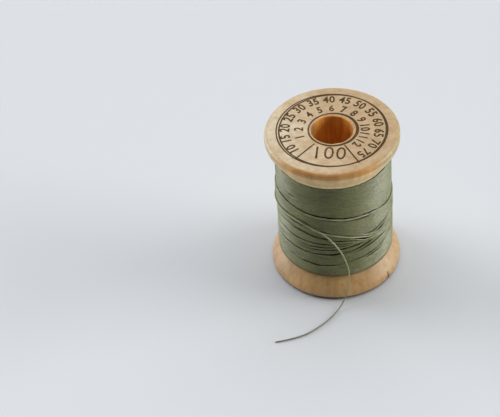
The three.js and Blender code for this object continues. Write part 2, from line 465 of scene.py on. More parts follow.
def makeToneGroup():
    # the colour of the heads' wood, place by place, with its painted sheen, highlight and shade, for
    # the wood and for what shows through the ink
    look = headLook
    tree, _, result = newGroup("headTone", [], [("Colour", "Color")])
    place = coordinate(tree)
    x, y, z = splitAxes(tree, place)
    radius = calculate(tree, "SQRT", weightedSum(tree, (x, x), (y, y)))

    def at(value, name):
        return between(tree, value, *headPlaces[name])

    wander = noiseAt(tree, place, 170, 3, 0.55)
    across, back = (share / look["faceReach"] for share in look["towards"])
    along = weightedSum(tree, (x, across), (y, back), (wander, look["faceWander"]))
    # the end faces: a painted sheen at the left, and the wood's browner tone towards the right
    face = coats(tree, look["faceSheenLeft"], (at(along, "faceRight"), look["faceRight"]))
    # the bottom head: painted shade towards the right and the sides, a painted sheen on the sides, and
    # a painted contact shadow along its edge
    foot = coats(
        tree, look["foot"],
        (at(x, "footShadeRight"), look["footShadeRight"]),
        (at(y, "footShadeSheenSides"), look["footShadeSheenSides"]),
        (at(z, "footContactShadow"), look["footContactShadow"]),
    )
    # the top head's cone: painted light from the table, a painted highlight beside the thread, and
    # painted sheen and shade at the left and the right
    bevel = coats(
        tree, look["bevel"],
        (at(radius, "highlightBesideThread"), look["highlightBesideThread"]),
        (at(x, "leftSide"), look["sheenShadeSides"]),
        (at(x, "rightSide"), look["sheenShadeSides"]),
    )
    # the band is patchy, and fades out at the left, where the cone's painted sheen shows instead
    rim = coats(tree, look["rim"], (at(x, "rightSide"), look["rimRight"]))
    patchy = noiseShare(tree, place, *woodGrain["patchy"])
    band = calculate(tree, "MULTIPLY", at(z, "rim"), patchy)
    band = calculate(tree, "MULTIPLY", band, at(x, "rimFadesLeft"))
    colour = coats(tree, foot, (at(z, "topHead"), bevel), (band, rim), (at(z, "face"), face))
    tree.links.new(colour, result.inputs["Colour"])
    return tree


toneGroup = makeToneGroup()


def grainInto(tree, look):
    grain = addNode(tree, "ShaderNodeGroup", node_tree=grainGroup)
    setLook(grain, look)
    return grain


def headGrain(tree):
    grain = grainInto(tree, headLook)
    tone = addNode(tree, "ShaderNodeGroup", node_tree=toneGroup)
    tree.links.new(tone.outputs["Colour"], grain.inputs["Wood"])
    return grain


def makeHeadWood():
    material, tree, principled = newMaterial("headWood")
    grain = headGrain(tree)
    place = coordinate(tree)
    away = addNode(tree, "ShaderNodeVectorMath", operation="DISTANCE")
    tree.links.new(place, away.inputs[0])
    away.inputs[1].default_value = onSpool(*headLook["stainPlace"])
    ragged = noiseAt(tree, place, 2600, 2, 0.5)
    reach = weightedSum(tree, (ragged, headLook["stainRagged"]), (away.outputs["Value"], 1))
    stain = between(tree, reach, *headPlaces["stain"])
    stain = calculate(tree, "SUBTRACT", stain, headLook["stainWorn"], clamp=True)
    colour = mixColours(tree, stain, grain.outputs["Colour"], headLook["stain"])
    tree.links.new(colour, principled.inputs["Base Color"])
    setLook(principled, headLook)
    bumpInto(tree, principled, grain.outputs["Height"], headLook)
    return material


def makeBoreWood():
    material, tree, principled = newMaterial("boreWood")
    grain = grainInto(tree, boreLook)
    x, _, z = splitAxes(tree, coordinate(tree))
    # the mouth's left and right are painted darker, as shade
    aside = calculate(tree, "ABSOLUTE", calculate(tree, "SUBTRACT", x, boreLook["mouthShift"]))
    shadedMouth = calculate(tree, "MULTIPLY", between(tree, aside, *boreLook["mouthAside"]),
                     between(tree, z, *boreLook["mouthHeight"]))
    wood = mixColours(tree, shadedMouth, boreLook["wood"], boreLook["mouthShadeSides"])
    tree.links.new(wood, grain.inputs["Wood"])
    tree.links.new(grain.outputs["Colour"], principled.inputs["Base Color"])
    setLook(principled, boreLook)
    bumpInto(tree, principled, grain.outputs["Height"], boreLook)
    return material


headWood = makeHeadWood()
boreWood = makeBoreWood()


# The cotton, for every piece of the thread.
cottonLook = {
    "light": (0.226, 0.24, 0.069, 1),
    "dark": (0.03, 0.032, 0.006, 1),
    "unevenness": 0.22,  # how much the strands differ in lightness
    "roughness": 0.4,
    "specular": 0.1,
    "sheen": 1.0,
    "sheenRoughness": 0.2,
    "sheenTint": (0.9, 0.95, 0.55, 1),
    "silk": (0.0, 0.5),  # how far a fibre's side faces up where the gloss starts, and is full
    "silkIor": 2.45,
    "silkRoughness": 0.52,
    "bump": 0.5,
    "bumpDepth": 0.00003,
}
cottonNoise = {
    # as in woodGrain
    "strands": ((420, 420, 3300), 3, 0.65, 0.3, 0.7),
    "patches": ((230, 230, 500), 3, 0.6, 0.3, 0.7),
    "fibres": ((1500, 1500, 4200), 3, 0.7, 0.35, 0.65),
}
# a paler copy of the cotton for the loose end, the pale step and the last turn: painted light where
# they stand proud or free
looseLook = {
    **cottonLook,
    "light": (0.48, 0.47, 0.29, 1),
    "dark": (0.18, 0.175, 0.09, 1),
    "specular": 0.4,
    "silkIor": 1.5,
}
# a paler copy for the last turn's left part: a painted highlight of the lamp on the left
leftLook = {
    "light": (0.52, 0.55, 0.27, 1),
    "dark": (0.16, 0.17, 0.06, 1),
}
# a darker copy for the loose end where it lies on the table: painted shade
tableLook = {
    "light": (0.26, 0.26, 0.16, 1),
    "dark": (0.09, 0.09, 0.05, 1),
}
# a paler copy for the second last turn in front: a painted highlight
strandLook = {
    **looseLook,
    "light": (0.55, 0.54, 0.33, 1),
    "dark": (0.25, 0.24, 0.12, 1),
}
# a nearly black copy for the layers below: painted shade in the gaps between the turns
innerLook = {
    **cottonLook,
    "light": (0.035, 0.035, 0.011, 1),
    "dark": (0.01, 0.01, 0.003, 1),
    "sheen": 0.1,
    "silkIor": 1.1,
}
# a darker, browner copy for the lowest turns: painted shade, tinted brown like light thrown back from
# the wood
footLook = {
    **cottonLook,
    "light": (0.28, 0.22, 0.10, 1),
    "dark": (0.08, 0.062, 0.022, 1),
    "sheen": 0.5,
    "silkIor": 1.4,
}


def makeCottonGroup():
    tree, given, result = newGroup(
        "twistedCotton",
        [
            ("Light Cotton", "Color"), ("Dark Cotton", "Color"),
            ("Other Light", "Color"), ("Other Dark", "Color"), ("Other Share", "Float"),
            ("Twists", "Float"), ("Unevenness", "Float"),
        ],
        [("Colour", "Color"), ("Height", "Float"), ("Gloss", "Float")],
    )
    place = coordinate(tree)
    # the plies go round the thread as it runs along
    across, along, _ = splitAxes(tree, coordinate(tree, "UV"))
    phase = calculate(tree, "MULTIPLY_ADD", along, given.outputs["Twists"], across)
    wave = calculate(tree, "SINE", calculate(tree, "MULTIPLY", phase, 2 * math.pi * thread["plies"]))
    ply = calculate(tree, "MULTIPLY_ADD", wave, 0.5, 0.5)
    fuzz = noiseAt(tree, place, 9000, 3, 0.6)
    # strands lie lighter and darker for a few millimetres each
    strands = noiseShare(tree, place, *cottonNoise["strands"])
    shades = calculate(tree, "ADD", strands, noiseShare(tree, place, *cottonNoise["patches"]))
    own = given.outputs
    share = weightedSum(
        tree, (between(tree, fuzz, 0.3, 0.7), 0.3), (ply, 0.4), (shades, own["Unevenness"])
    )
    light, dark = (
        mixColours(tree, own["Other Share"], own[first], own[other])
        for first, other in (("Light Cotton", "Other Light"), ("Dark Cotton", "Other Dark"))
    )
    tree.links.new(mixColours(tree, share, dark, light), result.inputs["Colour"])
    tree.links.new(calculate(tree, "MULTIPLY_ADD", fuzz, 0.4, ply), result.inputs["Height"])
    # the undersides of the turns are dull with lint, and the gloss is broken up by loose fibres
    upward = splitAxes(tree, coordinate(tree, "Normal"))[2]
    fibres = noiseShare(tree, place, *cottonNoise["fibres"])
    broken = calculate(tree, "MULTIPLY_ADD", fibres, 0.75, 0.45, clamp=True)
    gloss = calculate(tree, "MULTIPLY", between(tree, upward, *cottonLook["silk"]), broken)
    tree.links.new(gloss, result.inputs["Gloss"])
    return tree


cottonGroup = makeCottonGroup()


def cottonMaterial(name, twists, look=cottonLook, other=None, axis="Z", fade=(0, 1)):
    # twists: how many turns of the ply twist the piece's whole UV length holds
    # fade: where on the axis its colours are the other look's, and where they are its own
    material, tree, principled = newMaterial(name)
    cotton = addNode(tree, "ShaderNodeGroup", node_tree=cottonGroup)
    setLook(cotton, look)
    setSockets(cotton, {"Twists": twists})
    if other:
        setSockets(cotton, {"Other Light": other["light"], "Other Dark": other["dark"]})
        value = splitAxes(tree, coordinate(tree))["XYZ".index(axis)]
        tree.links.new(between(tree, value, fade[1], fade[0]), cotton.inputs["Other Share"])
    tree.links.new(cotton.outputs["Colour"], principled.inputs["Base Color"])
    tree.links.new(cotton.outputs["Gloss"], principled.inputs["Coat Weight"])
    setLook(principled, look)
    bumpInto(tree, principled, cotton.outputs["Height"], look)
    return material


def twistsAlong(line):
    return lineLength(line) / thread["plyPitch"]


tailPiece.data.materials.append(
    cottonMaterial("looseCotton", twistsAlong(tailLine), looseLook, tableLook, "Z", looseEnd["fade"])
)
print("stage: the materials")

# The heads and the barrel.
headSize = {
    "rimHeight": 0.00174,
    "rimRounding": 0.0008,  # of the worn outer edge
    "rimSoftness": 0.0005,  # of the edge where the cone starts
    "boreRadius": 0.00395,
    "boreChamfer": 0.00025,
    "bevelHeight": 0.0031,
    "bevelRun": 0.00183,
    "coveHeight": 0.00255,
    "coveCorner": 0.68,  # how far up the cove the cone's line runs on
    "facePoints": (0.006, 0.008, 0.010, 0.0112),  # radii of the points across the face
    "hubShoulder": 0.0011,
    "socketFloor": 0.0022,
    "glueGap": 0.0002,
    "steps": 160,
    "wornEdge": 0.00006,  # how far the edges wander
    "wornMouth": (0.004, 0.0045, 0.0006),  # the radii of the bore's worn edge, and its depth
    "wornRim": 0.0118,  # the radius where the worn rim starts
    "mouthWear": 0.0003,  # how much wider the bore's mouth is worn at the back
}
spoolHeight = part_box("top_head")[1].z
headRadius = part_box("bottom_head")[1].x
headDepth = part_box("bottom_head")[1].z
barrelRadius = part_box("barrel")[1].x
bevelSlope = headSize["bevelHeight"] / headSize["bevelRun"]


def arcPoints(centre, radius, start, end, steps):
    angles = [math.radians(mix(start, end, k / steps)) for k in range(steps + 1)]
    return [(centre[0] + radius * math.cos(a), centre[1] + radius * math.sin(a)) for a in angles]


def curvePoints(start, corner, end, steps):
    # a curve that leaves start and reaches end along the lines to the corner
    return [
        tuple(
            (1 - t) ** 2 * a + 2 * t * (1 - t) * b + t ** 2 * c
            for a, b, c in zip(start, corner, end)
        )
        for t in (k / steps for k in range(steps + 1))
    ]


def coneHeight(radius):
    # the height of the bottom head's cone at a radius
    return headSize["rimHeight"] + (headRadius - radius) * bevelSlope


def headOutline():
    # (radius, height) of the bottom head, from the bore's edge round to the bore again
    size = headSize
    rim, worn, soft = size["rimHeight"], size["rimRounding"], size["rimSoftness"]
    bevelEnd = headRadius - size["bevelRun"]
    hub = barrelRadius + size["hubShoulder"]
    chamfer = size["boreChamfer"]
    outline = arcPoints((size["boreRadius"] + chamfer, chamfer), chamfer, 180, 270, 5)
    outline += [(radius, 0) for radius in size["facePoints"]]
    outline += arcPoints((headRadius - worn, worn), worn, -90, 0, 10)
    outline += curvePoints(
        (headRadius, rim - soft), (headRadius, rim), (headRadius - soft / bevelSlope, rim + soft), 6
    )
    run = size["coveHeight"] * size["coveCorner"]
    outline += curvePoints(
        (bevelEnd, coneHeight(bevelEnd)), (bevelEnd - run / bevelSlope, coneHeight(bevelEnd) + run),
        (hub, headDepth), 8
    )
    outline += [
        (barrelRadius + size["glueGap"], headDepth),
        (barrelRadius + size["glueGap"], size["socketFloor"]),
        (size["boreRadius"], size["socketFloor"]),
    ]
    outline.append(outline[0])
    return outline


def spinOutline(name, outline, steps, smoothAngle=40):
    # draws the outline from a single vertex by extruding it, then spins it round the axis
    bpy.ops.mesh.primitive_plane_add(size=0.001)
    piece = bpy.context.object
    piece.name = name
    editAll()
    bpy.ops.mesh.merge(type="CENTER")
    bpy.ops.transform.translate(value=(outline[0][0], 0, outline[0][1]))
    for before, after in zip(outline, outline[1:]):
        move = (after[0] - before[0], 0, after[1] - before[1])
        bpy.ops.mesh.extrude_region_move(TRANSFORM_OT_translate={"value": move})
    editAll()
    bpy.ops.mesh.remove_doubles(threshold=1e-6)
    bpy.ops.mesh.spin(steps=steps, angle=2 * math.pi, center=(0, 0, 0), axis=(0, 0, 1))
    editAll()
    bpy.ops.mesh.remove_doubles(threshold=1e-6)
    bpy.ops.mesh.normals_make_consistent(inside=False)
    bpy.ops.object.mode_set(mode="OBJECT")
    bpy.ops.object.shade_smooth_by_angle(angle=math.radians(smoothAngle))
    return piece


def flipped(outline):
    return [(radius, spoolHeight - height) for radius, height in reversed(outline)]


def wearEdges(piece, seed):
    # the bore's edge and the rim wander a little, as on an old turned spool
    size = headSize
    inner, outer, depth = size["wornMouth"]
    for vertex in piece.data.vertices:
        place = vertex.co
        radius = math.hypot(place.x, place.y)
        fromFace = min(place.z, spoolHeight - place.z)
        azimuth = math.atan2(place.y, place.x)
        ring = Vector((math.cos(azimuth), math.sin(azimuth), seed))
        shift = 0
        if inner < radius < outer and fromFace < depth:
            shift = size["wornEdge"] * (1.3 * noise.noise(ring * 2.3) + 0.5 * noise.noise(ring * 6.1))
            if place.z > spoolHeight / 2:
                share = (radius - size["boreRadius"]) / size["boreChamfer"]
                shift += size["mouthWear"] * share * math.sin(azimuth + 0.7)
        elif radius > size["wornRim"]:
            dents = abs(noise.noise(ring * 3.1)) + max(0, noise.noise(ring * 9.7))
            shift = -0.5 * size["wornEdge"] * dents
        place.x += shift * math.cos(azimuth)
        place.y += shift * math.sin(azimuth)


def finishBore(piece):
    # the bore's wall gets the bore's own wood; the mouth, nearly all of it behind and its steep part in
    # front, gets that darker colour as painted shade
    piece.data.materials.append(boreWood)
    behind, inFront = boreLook["steepness"]
    for face in piece.data.polygons:
        radius = math.hypot(face.center.x, face.center.y)
        steepness = behind if face.center.y > 0 else inFront
        if radius < boreLook["reach"] and abs(face.normal.z) < steepness:
            face.material_index = 1


bottomHead = spinOutline("bottomHead", headOutline(), headSize["steps"])
topHead = spinOutline("topHead", flipped(headOutline()), headSize["steps"])

nick = {"width": 0.00022, "depth": 0.00038, "azimuth": 52.5, "height": 0.0023}


def cutNick(piece):
    # the small cut in the bottom rim that holds a thread's end
    place = onSpool(headRadius, nick["azimuth"], 0)
    turn = (0, 0, math.radians(nick["azimuth"]))
    bpy.ops.mesh.primitive_cube_add(size=1, location=place, rotation=turn)
    tool = bpy.context.object
    tool.scale = (nick["width"], 2 * nick["depth"], 2 * nick["height"])
    makeActive(piece)
    bpy.ops.object.modifier_add(type="BOOLEAN")
    piece.modifiers[-1].object = tool
    piece.modifiers[-1].operation = "DIFFERENCE"
    bpy.ops.object.modifier_apply(modifier=piece.modifiers[-1].name)
    bpy.data.objects.remove(tool)


cutNick(bottomHead)
for seed, (piece, node) in enumerate(((topHead, "top_head"), (bottomHead, "bottom_head"))):
    wearEdges(piece, seed * 11.3)
    keepPiece(piece, headWood, "wood_heads", node)
    finishBore(piece)

barrelFoot = [(radius, headSize["socketFloor"]) for radius in (headSize["boreRadius"], barrelRadius)]
barrelOutline = barrelFoot + flipped(barrelFoot) + barrelFoot[:1]
barrelTube = spinOutline("barrelTube", barrelOutline, headSize["steps"])
keepPiece(barrelTube, boreWood, "wood_barrel", "barrel")
print("stage: the heads and the barrel")

# The winding.
winding = {
    "seamPitch": 0.00024,  # from turn to turn behind
    "stepsPerTurn": 96,
    "seam": -180,  # the azimuth behind, where a turn is counted
    "top": 0.02774,  # the upper edge of the first turn
    "bottom": 0.0053,
    "upperRadius": 0.01089,  # of the middle of a turn
    "stepRadius": 0.01112,
    "wedgeRadius": 0.011,
    "lowerRadius": 0.01109,
    "innerRadius": 0.0104,
    "unevenness": 0.00004,
    "gapUnevenness": 0.45,
    "gapShare": 1.5,  # how wide the gaps are, as a share of the widths below
    "besideSecond": 0.0003,  # from the middle of the second last turn to the gaps beside it
    "rise": 0.00016,  # how far the two loose turns stand proud
    "riseLength": 12,  # degrees over which they rise
    "settle": 10,  # steps in which the first turn of a group comes to its radius
    "proud": {"underStep": (-34, 40), "wedgeTop": (-45, 46)},  # the azimuths where they do
    "paleStep": (-31, 33),  # and where they are painted paler, as a highlight
    "paleSecond": (-15, 43),
    "paleShare": 0.4,  # half the width of the paler step, in thread diameters
    "shadedBelow": 0.0057,  # below this the lowest turns are painted darker and browner: painted shade, tinted brown like light thrown back from the wood
    "lastShare": 0.88,  # how thick the last two turns are, in thread diameters
    "secondFade": (0.0085, 0.0045),  # x where the second last turn has the cotton's own colour, and its full painted highlight
    "lastFade": (-0.0085, -0.003),  # x where the last turn has its brightest painted highlight, and where the paler painted light of the loose end
}

# The groups of turns from the top down: the gap under each, and its number of turns.
upperGroups = [
    ("smallGap", 19), ("step", 11), ("underStep", 1), ("fanUpper", 16), ("fanLower", 3),
    ("aboveSecond", 3), ("wedgeTop", 1),
]
wedgeGroups = [
    ("wedgeUpper", 5), ("wedgeMiddle", 7), ("wedgeInner", 4), ("wedgeLower", 3), ("wedgeFoot", 5),
]
lowerGroups = [("footSecond", 3), ("lowGap", 9), ("lowSecond", 2), ("bottom", 13)]

# Tables that go round the winding from behind, as azimuth: height in mm.
# The middle of the second last turn, which climbs through the front.
secondTurn = {
    -150: 15.5, -120: 16.1, -90: 16.6, -70: 16.85, -55: 17.2, -40: 17.3, -30: 17.2, -20: 16.95,
    -14: 16.8, -5: 16.36, 0: 16.17, 5: 15.88, 10: 15.58, 15: 15.28, 20: 14.98, 25: 14.67, 30: 14.27,
    35: 13.85, 40: 13.43, 43: 13.13, 50: 12.97, 57: 13.15, 65: 13.45, 80: 14, 110: 14.3, 140: 14.35,
}
# The gaps between the groups of turns.
heightTables = {
    "smallGap": {
        -120: 23, -90: 23.3, -48: 23.55, -20: 23.35, 0: 23.2, 30: 22.9, 65: 22.3, 90: 22.2,
        130: 22.4,
    },
    "step": {
        -140: 20.9, -110: 21.2, -75: 21.3, -65: 21.45, -55: 21.4, -45: 21.23, -35: 21.17, -25: 21,
        -15: 20.9, -5: 20.7, 0: 20.6, 10: 20.45, 20: 20.3, 30: 20.08, 40: 19.85, 45: 19.58,
        52: 19.2, 60: 18.87, 65: 18.6, 75: 18.3, 100: 18.2, 135: 18.7,
    },
    "underStep": {
        -140: 20.6, -110: 20.95, -65: 21.2, -45: 21, -35: 20.8, -28: 20.5, -20: 20.2, -10: 20.1,
        0: 19.95, 10: 19.7, 20: 19.55, 28: 19.5, 34: 19.35, 42: 19.4, 50: 19.05, 65: 18.3,
        100: 17.9, 135: 18.4,
    },
    "fanUpper": {
        -140: 16.8, -110: 17.2, -75: 17.75, -65: 18.15, -55: 18.4, -45: 18.58, -35: 18.5, -27: 18.3,
        -18: 17.8, -8: 17.15, 0: 16.75, 10: 16.2, 20: 15.55, 28: 15, 33: 14.75, 37: 14.65, 41: 14.7,
        45: 14.82, 53: 15.05, 61: 15.2, 75: 15.4, 100: 15.3, 140: 15,
    },
    "fanLower": {
        -140: 16.4, -110: 16.8, -75: 17.3, -45: 18.1, -27: 17.9, -18: 17.55, 0: 16.65, 28: 14.8,
        35: 14.3, 40: 13.9, 43: 13.8, 45: 13.95, 50: 14.1, 54: 14.3, 61: 14.5, 75: 14.7, 110: 14.7,
        140: 14.7,
    },
    "wedgeUpper": {
        -140: 14.5, -110: 15, -80: 15.2, -67: 15.45, -62: 15.7, -50: 15.9, -45: 15.83, -35: 15.77,
        -30: 15.68, -25: 15.4, -15: 15.15, -10: 15, 0: 14.45, 5: 14.4, 13: 14.2, 20: 13.72,
        25: 13.25, 30: 13.02, 35: 12.85, 40: 12.7, 43: 12.63, 50: 12.55, 57: 12.8, 65: 13.1,
        80: 13.6, 110: 13.9,
    },
    "wedgeMiddle": {
        -140: 13.8, -110: 13.4, -80: 13.2, -65: 13.35, -60: 13.5, -50: 13.55, -45: 13.43,
        -35: 13.45, -25: 13.53, -11: 13.55, 8: 13.55, 15: 13.43, 22: 13.28, 30: 13.02, 40: 12.6,
        43: 12.55, 50: 12.5, 57: 12.7, 65: 13, 80: 13.5, 110: 13.7,
    },
    "wedgeInner": {
        -140: 13.2, -110: 12.5, -80: 11.8, -60: 12.2, -45: 12.23, -35: 12.37, -25: 12.4, -20: 12.6,
        -10: 12.7, 0: 12.95, 5: 13.1, 12: 13.2, 20: 13.22, 30: 13, 40: 12.5, 50: 12.45, 57: 12.6,
        65: 12.9, 80: 13.4, 110: 13.6,
    },
    "wedgeLower": {
        -140: 12.9, -110: 11.9, -75: 11, -70: 11.3, -65: 11.5, -57: 11.85, -50: 11.9, -42: 11.9,
        -38: 11.76, -30: 11.68, -25: 11.8, -20: 11.9, -10: 12, 0: 12.16, 8: 12.36, 12: 12.5,
        20: 12.72, 25: 12.8, 30: 12.84, 35: 12.72, 40: 12.48, 50: 12.4, 65: 12.8, 80: 13.3,
        110: 13.5,
    },
    "wedgeFoot": {
        -140: 12.4, -110: 10.8, -90: 9.9, -70: 9.95, -60: 10.35, -53: 10.55, -45: 10.6, -25: 10.62,
        -15: 10.8, -5: 10.85, 0: 10.95, 5: 11.15, 10: 11.25, 15: 11.35, 20: 11.55, 25: 11.8,
        30: 12.12, 35: 12.37, 38: 12.45, 42: 12.38, 46: 12.3, 55: 12.5, 65: 12.7, 80: 13.2,
        110: 13.3,
    },
    "footSecond": {
        -140: 11.6, -110: 10.4, -90: 9.6, -45: 10.2, 0: 10.55, 10: 10.8, 16: 11.05, 20: 11.18,
        25: 11.28, 30: 11.42, 35: 11.57, 40: 11.7, 45: 11.8, 57: 11.8, 65: 11.7, 80: 11.7,
        110: 11.8,
    },
    "lowGap": {
        -130: 8.4, -90: 8.1, -60: 8.1, -45: 8.05, -34: 7.92, -28: 7.93, -22: 7.8, -17: 7.75, -10: 8,
        -5: 8.13, 0: 8.2, 5: 8.3, 10: 8.5, 15: 8.7, 20: 8.85, 25: 8.95, 30: 9.08, 35: 9.22,
        40: 9.37, 45: 9.5, 50: 9.65, 60: 9.9, 75: 10.1, 100: 10, 140: 9.5,
    },
    "lowSecond": {
        -130: 7.9, -90: 7.7, -60: 7.7, -17: 7.35, 0: 7.8, 15: 8.3, 25: 8.55, 30: 8.7, 40: 8.74,
        45: 8.85, 55: 9.05, 70: 9.3, 100: 9.2, 140: 8.9,
    },
}
# How wide the gaps are, as azimuth: width in mm. They are closed beyond the ends.
widthTables = {
    "smallGap": {-64: 0, -58: 0.3, -54: 0.1, -51: 0.1, -48: 0.42, -45: 0.3, -42: 0.1, -38: 0},
    "step": {
        -110: 0.1, -76: 0.3, -58: 0.3, -50: 0.2, -42: 0.14, -35: 0.1, -30: 0, -22: -0.08, 0: -0.08,
        20: -0.08, 30: 0, 42: 0.1, 48: 0, 55: 0.06, 65: 0.08, 90: 0,
    },
    "underStep": {-35: 0, -20: 0.08, -5: 0.12, 19: 0.18, 24: 0.4, 32: 0.36, 37: 0},
    "fanUpper": {
        -90: 0.1, -75: 0.2, -62: 0.28, -50: 0.34, -33: 0.34, -27: 0.28, -20: 0.05, -10: 0, 26: 0,
        33: 0.24, 42: 0.34, 52: 0.36, 61: 0.3, 68: 0.14, 80: 0,
    },
    "fanLower": {43: 0, 46: 0.4, 48: 0.65, 52: 0.6, 56: 0.3, 65: 0.16, 80: 0},
    "aboveSecond": {
        -90: 0.14, -75: 0.28, -50: 0.3, -30: 0.3, -20: 0.2, -12: 0.3, 0: 0.28, 15: 0.2, 25: 0.14,
        35: 0.12, 43: 0, 45: 0, 49: 0.3, 57: 0.3, 64: 0.1, 72: 0,
    },
    "wedgeTop": {
        -90: 0, -30: 0.05, -12: 0.1, -8: 0.2, 5: 0.2, 12: 0.4, 18: 0.64, 22: 0.82, 28: 0.92,
        34: 0.8, 39: 0.55, 43: 0.2, 45: 0.1, 50: 0.6, 55: 0.3, 60: 0,
    },
    "wedgeUpper": {
        -90: 0.1, -75: 0.2, -67: 0.3, -58: 0.3, -50: 0.32, -44: 0.34, -33: 0.34, -27: 0.26,
        -22: 0.34, -12: 0.34, 0: 0.34, 8: 0.4, 18: 0.4, 26: 0.34, 31: 0.2, 34: 0,
    },
    "wedgeMiddle": {
        -90: 0.1, -72: 0.22, -65: 0.3, -48: 0.28, -44: 0.34, -35: 0.34, -30: 0.2, -24: 0.3,
        -12: 0.34, 0: 0.38, 10: 0.42, 18: 0.42, 26: 0.4, 32: 0.2, 36: 0,
    },
    "wedgeInner": {
        -70: 0, -60: 0.12, -50: 0.16, -40: 0.2, -30: 0.26, -10: 0.28, 0: 0.26, 4: 0.34, 11: 0.36,
        18: 0.3, 24: 0.2, 30: 0,
    },
    "wedgeLower": {
        -90: 0.2, -75: 0.4, -66: 0.42, -62: 0.2, -56: 0.1, -42: 0.14, -36: 0.24, -28: 0.2, -15: 0.3,
        0: 0.34, 15: 0.42, 28: 0.48, 32: 0.3, 35: 0,
    },
    "wedgeFoot": {
        -90: 0.2, -70: 0.3, -56: 0.28, -52: 0.3, -44: 0.26, -40: 0.32, -20: 0.34, 0: 0.42, 10: 0.4,
        20: 0.4, 40: 0.44, 43: 0.14, 46: 0,
    },
    "footSecond": {8: 0, 16: 0.2, 24: 0.3, 35: 0.34, 45: 0.34, 55: 0.3, 66: 0.14, 76: 0},
    "lowGap": {
        -90: 0.1, -70: 0.2, -60: 0.2, -46: 0.22, -38: 0.12, -33: 0.3, -20: 0.34, -8: 0.34, 3: 0.3,
        8: 0.18, 15: 0.2, 22: 0.3, 30: 0.34, 34: 0.45, 38: 0.45, 42: 0.32, 52: 0.3, 62: 0.22, 72: 0,
    },
    "lowSecond": {27: 0, 33: 0.3, 42: 0.3, 52: 0.24, 60: 0},
}


def inMetres(table):
    return [(azimuth, value / 1000) for azimuth, value in table.items()]


gapHeights = {name: inMetres(table) for name, table in heightTables.items()}
gapWidths = {name: inMetres(table) for name, table in widthTables.items()}
for name, side in (("aboveSecond", 1), ("wedgeTop", -1)):
    aside = side * winding["besideSecond"]
    gapHeights[name] = [(azimuth, height + aside) for azimuth, height in inMetres(secondTurn)]


def around(points, azimuth):
    # a smooth closed curve through (azimuth, value) points
    count = len(points)

    def at(k):
        return points[k % count][0] + 360 * (k // count), points[k % count][1]

    azimuth = (azimuth - points[0][0]) % 360 + points[0][0]
    i = max(k for k, point in enumerate(points) if point[0] <= azimuth + 1e-9)
    (a0, v0), (a1, v1), (a2, v2), (a3, v3) = at(i - 1), at(i), at(i + 1), at(i + 2)
    t = (azimuth - a1) / (a2 - a1)
    startSlope = (v2 - v0) / (a2 - a0) * (a2 - a1)
    endSlope = (v3 - v1) / (a3 - a1) * (a2 - a1)
    return (
        (2 * t ** 3 - 3 * t ** 2 + 1) * v1
        + (t ** 3 - 2 * t ** 2 + t) * startSlope
        + (3 * t ** 2 - 2 * t ** 3) * v2
        + (t ** 3 - t ** 2) * endSlope
    )


def uneven(travel, seed):
    # how far a strand strays at a place along it, in parts of the unevenness
    slow = noise.noise((travel * 9.1, seed, 0))
    quick = noise.noise((travel * 31.7, seed, 3))
    return slow + 0.6 * quick


def gapWidth(name, azimuth):
    if name not in gapWidths:
        return 0
    ends = [(winding["seam"], 0)] + gapWidths[name] + [(-winding["seam"] - 1, 0)]
    i = max(k for k, point in enumerate(ends[:-1]) if point[0] <= azimuth)
    width = mix(ends[i][1], ends[i + 1][1], smoothStep(azimuth, ends[i][0], ends[i + 1][0]))
    seed = (len(name), gapHeights[name][0][1] * 1000)
    wander = winding["gapUnevenness"] * noise.noise((azimuth * 0.21, *seed))
    return width * (1 + wander) * winding["gapShare"]


def riseOf(name, azimuth):
    # how far a turn of this group stands proud
    if name not in winding["proud"]:
        return 0
    start, end = winding["proud"][name]
    soft = winding["riseLength"]
    share = smoothStep(azimuth, start - soft, start) - smoothStep(azimuth, end - soft, end)
    return winding["rise"] * share


def groupOfTurns(topName, topSeam, groups, pitch, radii, seed):
    # one line that winds down through the groups; pitch is that of the turns behind
    steps = winding["stepsPerTurn"]
    azimuths = [winding["seam"] + 360 * k / steps for k in range(steps)]
    seamHeights, heights, widths = [topSeam], [], []
    for name, count in groups:
        seamHeights.append(seamHeights[-1] - pitch * count)
    for name, seamHeight in zip([topName] + [name for name, count in groups], seamHeights):
        points = [(winding["seam"], seamHeight)] + gapHeights.get(name, [])
        # a line falls by one turn on its way round, to where the next turn starts
        heights.append([around(points, a) - pitch * (a / 360) for a in azimuths])
        widths.append([gapWidth(name, a) for a in azimuths])
    line = []
    for band, (name, count) in enumerate(groups):
        for i in range(count):
            for k, azimuth in enumerate(azimuths):
                upper, lower = heights[band][k], heights[band + 1][k]
                if name != "wedgeTop":  # the second last turn keeps its place
                    upper -= widths[band][k] / 2
                    lower += widths[band + 1][k] / 2
                    if upper < lower:  # no room: the turns lie on one another
                        upper = lower = (upper + lower) / 2
                height = mix(upper, lower, (i + 0.5) / count)
                radius = radii[band]
                if band and i == 0:
                    radius = mix(radii[band - 1], radius, smoothStep(k, 0, winding["settle"]))
                radius += riseOf(name, azimuth)
                travel = len(line) / steps
                height += winding["unevenness"] * uneven(travel, seed)
                radius += winding["unevenness"] * uneven(travel, seed + 5)
                line.append(onSpool(radius, azimuth, height))
    return line, seamHeights[-1]


def turnsIn(groups):
    return sum(count for name, count in groups)


seamPitch = winding["seamPitch"]
upperLine, wedgeTopSeam = groupOfTurns(
    "top", winding["top"], upperGroups, seamPitch,
    (winding["upperRadius"],) * 2 + (winding["stepRadius"],) * 5, 1.7,
)
footSeam = winding["bottom"] + seamPitch * turnsIn(lowerGroups)
wedgeLine, _ = groupOfTurns(
    "wedgeTop", wedgeTopSeam, wedgeGroups, (wedgeTopSeam - footSeam) / turnsIn(wedgeGroups),
    (winding["wedgeRadius"],) * 5, 4.1,
)
lowerLine, _ = groupOfTurns(
    "wedgeFoot", footSeam, lowerGroups, seamPitch, (winding["lowerRadius"],) * 4, 8.3,
)

